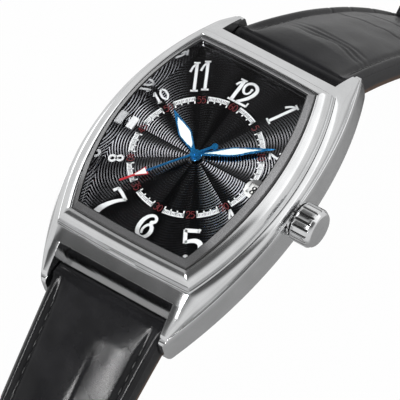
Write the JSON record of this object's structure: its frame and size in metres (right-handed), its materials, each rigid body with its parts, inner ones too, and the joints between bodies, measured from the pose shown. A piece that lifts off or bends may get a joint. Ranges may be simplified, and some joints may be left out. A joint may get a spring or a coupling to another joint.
{
  "type": "wristwatch",
  "caption": "Tonneau-cased automatic wristwatch with domed bevelled crystal, three hands, date window, fluted crown and an open two-piece leather strap with pin buckle.",
  "frame": {"origin": "centre of the case back's flat outer face", "axes": "+Z out of the dial, +Y towards twelve o'clock, +X towards the crown"},
  "size_m": [0.0382, 0.194, 0.074],
  "materials": {
    "case_steel": "polished steel",
    "crystal": "clear",
    "seal": "matt",
    "rehaut": "mirror polished",
    "dial_black": "black, engine turned under lacquer",
    "silver_marker": "satin",
    "screw_steel": "polished heads",
    "stem_steel": "turned",
    "holder_plastic": "matt",
    "plate_rhodium": "rhodium plated, brushed",
    "wheel_brass": "gilt",
    "pinion_steel": "polished",
    "date_paper_white": "white print ground",
    "blued_steel": "heat blued, glossy",
    "lume_white": "white luminous paste",
    "strap_leather": "black, glossy, embossed scales",
    "lining_leather": "smooth calf lining",
    "buckle_steel": "polished"
  },
  "bodies": {
    "case": {"case_middle": "case_steel", "bezel": "case_steel", "crystal": "crystal", "crystal_gasket": "seal", "rehaut_ring": "rehaut", "dial": "dial_black", "nine_marker": "silver_marker", "case_back": "case_steel", "case_back_gasket": "seal", "case_back_screws": "screw_steel", "crown_tube": "stem_steel", "movement_ring": "holder_plastic", "main_plate": "plate_rhodium", "barrel_bridge": "plate_rhodium", "train_bridge": "plate_rhodium", "balance_cock": "plate_rhodium", "bridge_screws": "screw_steel", "rotor_bearing": "pinion_steel", "rotor_screw": "screw_steel", "calendar_plate": "plate_rhodium", "spring_bar_upper": "stem_steel", "spring_bar_lower": "stem_steel"},
    "crown_slider": {"crown_gasket": "seal"},
    "crown": {"crown": "case_steel", "winding_stem": "stem_steel"},
    "seconds": {"fourth_wheel": "wheel_brass", "seconds_hand": "blued_steel"},
    "minutes": {"centre_wheel": "wheel_brass", "cannon_pinion": "pinion_steel", "minute_hand": "blued_steel", "minute_hand_lume": "lume_white"},
    "hours": {"hour_wheel": "wheel_brass", "hour_hand": "blued_steel", "hour_hand_lume": "lume_white"},
    "minute_work": {"minute_wheel": "wheel_brass"},
    "third": {"third_wheel": "wheel_brass"},
    "escape": {"escape_wheel": "pinion_steel"},
    "barrel": {"mainspring_barrel": "wheel_brass"},
    "ratchet": {"ratchet_wheel": "pinion_steel"},
    "fork": {"pallet_fork": "pinion_steel"},
    "balance": {"balance_wheel": "wheel_brass", "hairspring": "blued_steel"},
    "rotor": {"rotor": "plate_rhodium"},
    "date": {"date_disc": "date_paper_white"},
    "strap_top": {"strap_upper": "strap_leather", "strap_upper_lining": "lining_leather", "fixed_keeper": "strap_leather", "buckle_bar": "stem_steel"},
    "strap_bottom": {"strap_lower": "strap_leather", "strap_lower_lining": "lining_leather"},
    "keeper": {"free_keeper": "strap_leather"},
    "buckle": {"buckle_frame": "buckle_steel"},
    "tongue": {"buckle_tongue": "buckle_steel"}
  },
  "joints": [
    {"name": "crown_pull", "type": "slide", "parent": "case", "child": "crown_slider", "axis": [1, 0, 0], "range_m": [0, 0.0012]},
    {"name": "crown_turn", "type": "hinge", "parent": "crown_slider", "child": "crown", "pos_m": [0.0172, 0, 0.0058], "axis": [1, 0, 0], "continuous": true},
    {"name": "seconds_turn", "type": "hinge", "parent": "case", "child": "seconds", "pos_m": [0, 0, 0.005], "axis": [0, 0, 1], "continuous": true},
    {"name": "minutes_turn", "type": "hinge", "parent": "case", "child": "minutes", "pos_m": [0, 0, 0.005], "axis": [0, 0, 1], "continuous": true},
    {"name": "hours_turn", "type": "hinge", "parent": "case", "child": "hours", "pos_m": [0, 0, 0.005], "axis": [0, 0, 1], "continuous": true},
    {"name": "minute_work_turn", "type": "hinge", "parent": "case", "child": "minute_work", "pos_m": [0.0023, -0.00193, 0.005], "axis": [0, 0, 1], "continuous": true},
    {"name": "third_turn", "type": "hinge", "parent": "case", "child": "third", "pos_m": [0.00132, 0.00493, 0.005], "axis": [0, 0, 1], "continuous": true},
    {"name": "escape_turn", "type": "hinge", "parent": "case", "child": "escape", "pos_m": [0.0025, -0.00433, 0.005], "axis": [0, 0, 1], "continuous": true},
    {"name": "barrel_turn", "type": "hinge", "parent": "case", "child": "barrel", "pos_m": [-0.00541, 0.00145, 0.005], "axis": [0, 0, 1], "continuous": true},
    {"name": "ratchet_turn", "type": "hinge", "parent": "case", "child": "ratchet", "pos_m": [-0.00541, 0.00145, 0.005], "axis": [0, 0, 1], "continuous": true},
    {"name": "fork_rock", "type": "hinge", "parent": "case", "child": "fork", "pos_m": [0.00103, -0.00636, 0.005], "axis": [0, 0, 1], "range_deg": [-5, 5]},
    {"name": "balance_swing", "type": "hinge", "parent": "case", "child": "balance", "pos_m": [-0.00044, -0.00839, 0.005], "axis": [0, 0, 1], "range_deg": [-300, 300], "stiffness_Nm_per_rad": 0.000001},
    {"name": "rotor_turn", "type": "hinge", "parent": "case", "child": "rotor", "pos_m": [0, 0, 0.005], "axis": [0, 0, 1], "continuous": true},
    {"name": "date_turn", "type": "hinge", "parent": "case", "child": "date", "pos_m": [0, 0, 0.005], "axis": [0, 0, 1], "continuous": true},
    {"name": "upper_strap_hinge", "type": "hinge", "parent": "case", "child": "strap_top", "pos_m": [0, 0.02285, 0.001], "axis": [1, 0, 0], "range_deg": [-50, 90]},
    {"name": "lower_strap_hinge", "type": "hinge", "parent": "case", "child": "strap_bottom", "pos_m": [0, -0.02285, 0.001], "axis": [-1, 0, 0], "range_deg": [-65, 80]},
    {"name": "keeper_slide", "type": "hinge", "parent": "strap_top", "child": "keeper", "pos_m": [0, -0.06347, -0.10187], "axis": [1, 0, 0], "range_deg": [-1.9, 2.5]},
    {"name": "buckle_hinge", "type": "hinge", "parent": "strap_top", "child": "buckle", "pos_m": [0, 0.06425, -0.06037], "axis": [1, 0, 0], "range_deg": [-70, 15]},
    {"name": "tongue_hinge", "type": "hinge", "parent": "buckle", "child": "tongue", "pos_m": [0, 0.06425, -0.06037], "axis": [1, 0, 0], "range_deg": [0, 45]}
  ],
  "couplings": [
    {"joint": "minutes_turn", "follows": "seconds_turn", "ratio": 0.016667},
    {"joint": "hours_turn", "follows": "seconds_turn", "ratio": 0.0013889},
    {"joint": "minute_work_turn", "follows": "seconds_turn", "ratio": -0.0055556},
    {"joint": "third_turn", "follows": "seconds_turn", "ratio": -0.125},
    {"joint": "escape_turn", "follows": "seconds_turn", "ratio": -10},
    {"joint": "barrel_turn", "follows": "seconds_turn", "ratio": -0.0027778}
  ]
}
